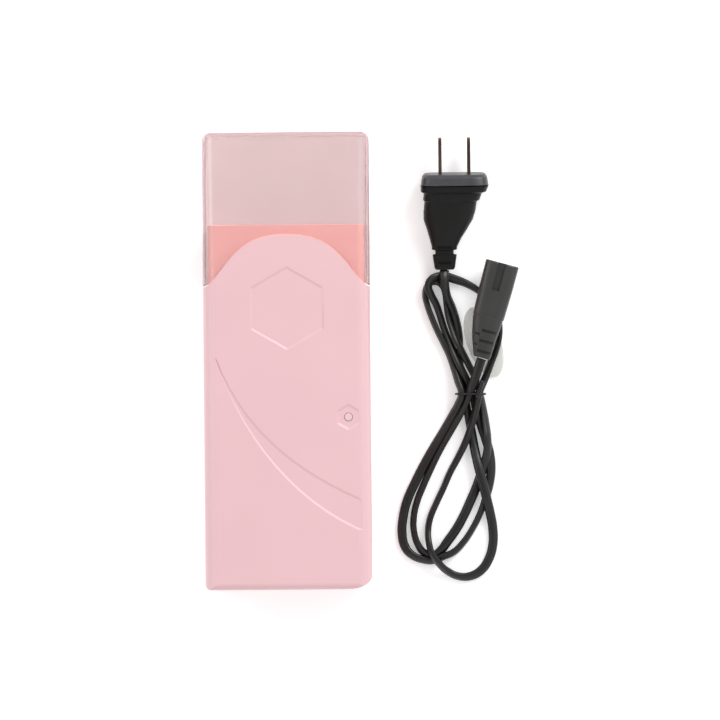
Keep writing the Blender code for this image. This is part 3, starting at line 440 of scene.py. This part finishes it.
# %% Cord route
CORD_ROUTE = (
    (85.8, 0.95, 8.4), (84.7, -2.3, 8.3), (83.3, -6.9, 7.7), (81.6, -11.2, 6.8), (80.1, -14.6, 6.0),
    (78.5, -18.8, 5.2), (75.9, -24.3, 4.2), (71.7, -31.8, 2.6), (67.5, -39.2, 2.1), (63.6, -47.2, 2.1),
    (60.1, -55.1, 2.1), (57.2, -62.6, 2.1), (55.8, -69.6, 2.1), (56.0, -75.8, 2.1), (57.6, -81.0, 2.1),
    (60.3, -84.7, 1.9), (64.0, -86.2, 1.8), (67.7, -84.0, 1.6), (70.8, -79.9, 1.5), (74.4, -74.9, 1.4),
    (77.9, -68.7, 1.4), (80.7, -62.6, 1.4), (83.2, -56.8, 1.4), (85.4, -50.7, 1.6), (87.3, -45.0, 2.6),
    (88.4, -39.7, 4.2), (88.5, -34.4, 4.8), (87.8, -28.2, 3.4), (86.7, -21.6, 2.2), (85.2, -14.6, 2.2),
    (83.4, -8.4, 2.1), (80.5, -2.3, 2.5), (77.8, 3.0, 4.3), (75.2, 8.3, 4.6), (73.0, 14.0, 3.0),
    (71.2, 20.2, 2.1), (70.4, 25.9, 2.1), (69.8, 30.2, 2.1), (68.2, 33.6, 2.1), (65.2, 34.9, 2.2),
    (62.1, 33.5, 2.2), (60.9, 29.7, 2.2), (61.8, 24.9, 2.2), (63.6, 19.7, 2.2), (66.0, 14.0, 2.2),
    (68.9, 8.1, 2.2), (71.5, 2.6, 2.2), (73.5, -3.2, 2.9), (75.2, -8.9, 4.8), (76.9, -14.6, 6.0),
    (75.4, -19.0, 4.9), (73.0, -23.8, 3.0), (68.9, -31.1, 1.8), (64.9, -37.9, 1.6), (60.5, -45.8, 1.5),
    (56.5, -53.8, 1.4), (53.0, -61.7, 1.5), (51.2, -69.2, 1.5), (50.7, -76.2, 1.5), (52.1, -82.4, 1.5),
    (55.2, -85.9, 1.8), (59.8, -87.9, 1.9), (64.5, -88.3, 2.0), (68.9, -86.6, 2.0), (73.5, -84.6, 2.1),
    (77.9, -80.2, 2.1), (81.8, -74.4, 2.1), (85.1, -67.8, 2.2), (87.6, -61.2, 2.0), (89.3, -54.6, 1.6),
    (90.1, -47.6, 1.5), (89.5, -41.0, 1.5), (87.9, -35.1, 1.5), (85.8, -28.7, 1.6), (83.6, -21.6, 2.1),
    (81.8, -14.6, 2.2), (79.8, -9.3, 2.9), (77.0, -3.6, 4.7), (74.4, 2.1, 4.1), (72.1, 7.8, 2.5),
    (69.3, 14.4, 2.1), (67.5, 20.2, 2.2), (65.7, 25.2, 3.2), (63.5, 29.3, 4.9), (62.3, 32.7, 5.2),
    (63.4, 35.7, 5.0), (66.4, 37.2, 4.0), (70.2, 37.2, 2.4), (74.4, 36.0, 2.0), (79.6, 34.0, 2.0),
    (85.1, 30.5, 2.1), (90.2, 25.0, 2.2), (93.1, 18.8, 2.6), (93.7, 12.2, 2.6), (92.4, 5.6, 2.6),
    (89.8, -1.4, 2.9), (87.3, -8.0, 4.2), (84.6, -14.6, 6.0), (83.4, -20.8, 5.4), (81.6, -27.8, 4.8),
    (79.2, -34.8, 4.4), (75.9, -41.9, 2.4), (71.9, -49.4, 2.1), (68.9, -56.4, 2.1), (65.8, -63.0, 2.1),
    (63.1, -69.6, 2.1), (62.2, -75.3, 2.5), (62.6, -80.6, 4.6), (64.0, -85.4, 5.2), (66.9, -89.4, 4.8),
    (70.8, -93.0, 2.6), (75.9, -95.3, 1.9), (81.0, -95.2, 1.8), (86.0, -92.3, 1.6), (89.2, -87.4, 1.4),
    (90.9, -81.0, 1.4), (90.8, -73.6, 1.5), (89.5, -66.5, 2.6), (87.9, -59.9, 4.7), (86.2, -53.1, 4.7),
    (84.5, -46.7, 4.3), (82.7, -38.4, 2.4), (81.2, -30.0, 1.7), (79.6, -21.6, 2.1), (78.4, -14.6, 2.2),
    (77.1, -8.4, 2.1), (76.5, -2.3, 2.1), (76.3, 4.8, 2.1), (76.1, 10.5, 2.1), (75.0, 17.1, 2.0),
    (73.0, 23.7, 2.6), (70.8, 28.7, 4.7), (69.6, 33.4, 5.8), (69.3, 37.2, 5.7), (69.4, 39.9, 4.5),
)
LEAD_TURN = math.radians(-0.5)  # the whole lead, about the heater's middle
CORD_WIDTH, CORD_THICKNESS = 4.2 * MM, 2.5 * MM

# At a share of the way along, how many degrees the flat side is turned up from level
CORD_TWIST = (
    (0.0, 0), (0.02, 10), (0.035, 45), (0.06, 58), (0.10, 66), (0.115, 45), (0.14, 8), (0.17, 5), (0.19, 45),
    (0.22, 62), (0.27, 62), (0.30, 75), (0.35, 68), (0.37, 62), (0.385, 40), (0.41, 12), (0.435, 15),
    (0.455, 50), (0.50, 68), (0.52, 20), (0.545, 10), (0.56, 55), (0.60, 60), (0.63, 45), (0.65, 20),
    (0.675, 70), (0.70, 62), (0.72, 50), (0.74, 55), (0.77, 66), (0.80, 66), (0.825, 50), (0.85, 10),
    (0.90, 5), (0.92, 45), (0.94, 62), (0.975, 55), (0.99, 15), (1.0, 0),
)


def between(stations, share):
    """The smoothly blended value of a list of (share, value) stations."""
    for (start, a), (end, b) in zip(stations, stations[1:]):
        if share <= end:
            t = (share - start) / (end - start)
            return a + (b - a) * t * t * (3 - 2 * t)
    return stations[-1][1]


# %% Curves and what is swept along them
def curve_holder(name, points, cyclic=False, tilts=None, resolution=4):
    """A smooth curve through the points, in the scene for as long as it is needed. Tilts are in degrees."""
    curve = bpy.data.curves.new(name, "CURVE")
    curve.dimensions = "3D"
    curve.twist_mode = "Z_UP"
    curve.resolution_u = resolution
    spline = curve.splines.new("BEZIER")
    spline.bezier_points.add(len(points) - 1)
    spline.use_cyclic_u = cyclic
    for number, (knot, point) in enumerate(zip(spline.bezier_points, points)):
        knot.co = point
        knot.handle_left_type = knot.handle_right_type = "AUTO"
        knot.tilt = math.radians(tilts[number]) if tilts else 0.0
    holder = bpy.data.objects.new(name, curve)
    bpy.context.scene.collection.objects.link(holder)
    return holder


def evaluated_mesh(holder):
    """The mesh of a curve as it stands: a line of points, or its swept skin once it has a section."""
    bpy.context.view_layer.update()
    graph = bpy.context.evaluated_depsgraph_get()
    return bpy.data.meshes.new_from_object(holder.evaluated_get(graph))


def swept(holder, section):
    """The mesh that a closed section makes along a curve."""
    holder.data.bevel_mode = "OBJECT"
    holder.data.bevel_object = section
    holder.data.use_fill_caps = True
    mesh = evaluated_mesh(holder)
    bm = bmesh.new()
    bm.from_mesh(mesh)
    bmesh.ops.remove_doubles(bm, verts=bm.verts[:], dist=WELD)
    bmesh.ops.recalc_face_normals(bm, faces=bm.faces[:])
    bm.to_mesh(mesh)
    bm.free()
    mesh.shade_smooth()
    return mesh


def oval(half_width, half_height, resolution):
    corners = [(half_width, 0, 0), (0, half_height, 0), (-half_width, 0, 0), (0, -half_height, 0)]
    return curve_holder("section", corners, cyclic=True, resolution=resolution)


def clear(*holders):
    """Takes curves that have done their work out of the scene."""
    for holder in holders:
        bpy.data.objects.remove(holder)


# %% Cord
turn_lead = Matrix.Rotation(LEAD_TURN, 4, "Z")
points = [turn_lead @ (Vector(place) * MM) for place in CORD_ROUTE]
tilts = [between(CORD_TWIST, number / (len(points) - 1)) for number in range(len(points))]
cord_holder = curve_holder("cord_line", points, tilts=tilts)
cord_path = [tuple(vertex.co) for vertex in evaluated_mesh(cord_holder).vertices]
section = oval(CORD_WIDTH / 2, CORD_THICKNESS / 2, resolution=5)
cord = show("cord_skin", swept(cord_holder, section), "mains_lead", "cord_black", "cord")
clear(cord_holder, section)
print(f"cord: {len(cord_path)} points on its line, {len(cord.data.polygons)} faces")

# %% [markdown]
# ## Plug and connector
#
# Each end of the cord is moulded in soft black plastic, and the plug has a harder, greyer face that holds
# its two blades. Their solids have the right sections, so only their edges are eased. A small frosted tag
# hangs on the cord behind the connector.

# %% Plug, connector and tag
eased("plug_body", "mains_lead", "lead_black", width=0.45)
eased("plug_face", "mains_lead", "plug_face_grey", width=0.5)
for side_name in ("left", "right"):
    eased("plug_blade_" + side_name, "mains_lead", "blade_bronze", width=0.2)
eased("connector_body", "mains_lead", "connector_grey", width=0.25)
eased("cord_tag", "mains_lead", "tag_frosted", width=0.2)

# %% [markdown]
# ## Tie
#
# A plastic-coated wire holds the hank together. Its two ends are twisted round each other on top. The band
# and each end are thin tubes, the band along a rounded ring and the ends along two helices.

# %% Band and twisted ends
TIE_RADIUS = 0.5 * MM
TIE_Y = -14.6 * MM
BAND_LEFT, BAND_RIGHT, BAND_LOW, BAND_TOP = 74.6 * MM, 87.4 * MM, 0.5 * MM, 8.3 * MM
BAND_ROUND, BAND_STEPS = 2.4 * MM, 3  # radius of the band's corners and how many steps each is drawn in
TWIST_START, TWIST_END = Vector((83.9, -16.2, 8.8)) * MM, Vector((86.2, -8.9, 8.9)) * MM
TWIST_TURNS, TWIST_REACH, TWIST_STEPS = 3.5, 0.6 * MM, 36


def band_ring():
    """The band's line: an upright rectangle with round corners."""
    # Each corner's place, and which way is inwards from it along X and along Z
    corners = (
        (BAND_LEFT, BAND_TOP, 1, -1), (BAND_RIGHT, BAND_TOP, -1, -1), (BAND_RIGHT, BAND_LOW, -1, 1),
        (BAND_LEFT, BAND_LOW, 1, 1),
    )
    ring = []
    for number, (x, z, inward_x, inward_z) in enumerate(corners):
        arc = []
        for step in range(BAND_STEPS + 1):
            angle = math.pi / 2 * step / BAND_STEPS
            inset_x, inset_z = 1 - math.sin(angle), 1 - math.cos(angle)
            arc.append((x + inward_x * BAND_ROUND * inset_x, z + inward_z * BAND_ROUND * inset_z))
        ring += arc if number % 2 else arc[::-1]
    return [turn_lead @ Vector((x, TIE_Y, z)) for x, z in ring]


def twisted_end(phase):
    """One end's line: a helix that starts at this angle."""
    along = TWIST_END - TWIST_START
    side = along.cross(Vector((0, 0, 1))).normalized()
    lift = side.cross(along).normalized()
    helix = []
    for step in range(TWIST_STEPS + 1):
        share = step / TWIST_STEPS
        angle = phase + share * TWIST_TURNS * 2 * math.pi
        reach = (side * math.cos(angle) + lift * math.sin(angle)) * TWIST_REACH
        helix.append(turn_lead @ (TWIST_START + along * share + reach))
    return helix


# %% Tie
wires = [
    curve_holder("band", band_ring(), cyclic=True),
    curve_holder("twist", twisted_end(0)),
    curve_holder("twist", twisted_end(math.pi)),
]
section = oval(TIE_RADIUS, TIE_RADIUS, resolution=3)
bm = bmesh.new()
for wire in wires:
    bm.from_mesh(swept(wire, section))
tie_mesh = bpy.data.meshes.new("tie_wire")
bm.to_mesh(tie_mesh)
bm.free()
tie_mesh.shade_smooth()
clear(section, *wires)
show("tie_wire", tie_mesh, "mains_lead", "tie_black", "cord_tie")
print("tie:", len(tie_mesh.polygons), "faces")

# %% [markdown]
# ## The solids that stay
#
# The rest keep their solids: the well, the heating plate, the wires and the screws are seen only through
# the mouth, the cover or a screw's hole. Each takes the finish of its own slot in the record.

# %% Finish the remaining solids
for subpart in frame["record"]["subparts"]:
    node = nodes[subpart["node"]]
    if not node.hide_render:
        node.data.materials.clear()
        node.data.materials.append(finishes[subpart["material_slot"]])
print("solids shown as they are:", sorted(name for name, node in nodes.items() if not node.hide_render))
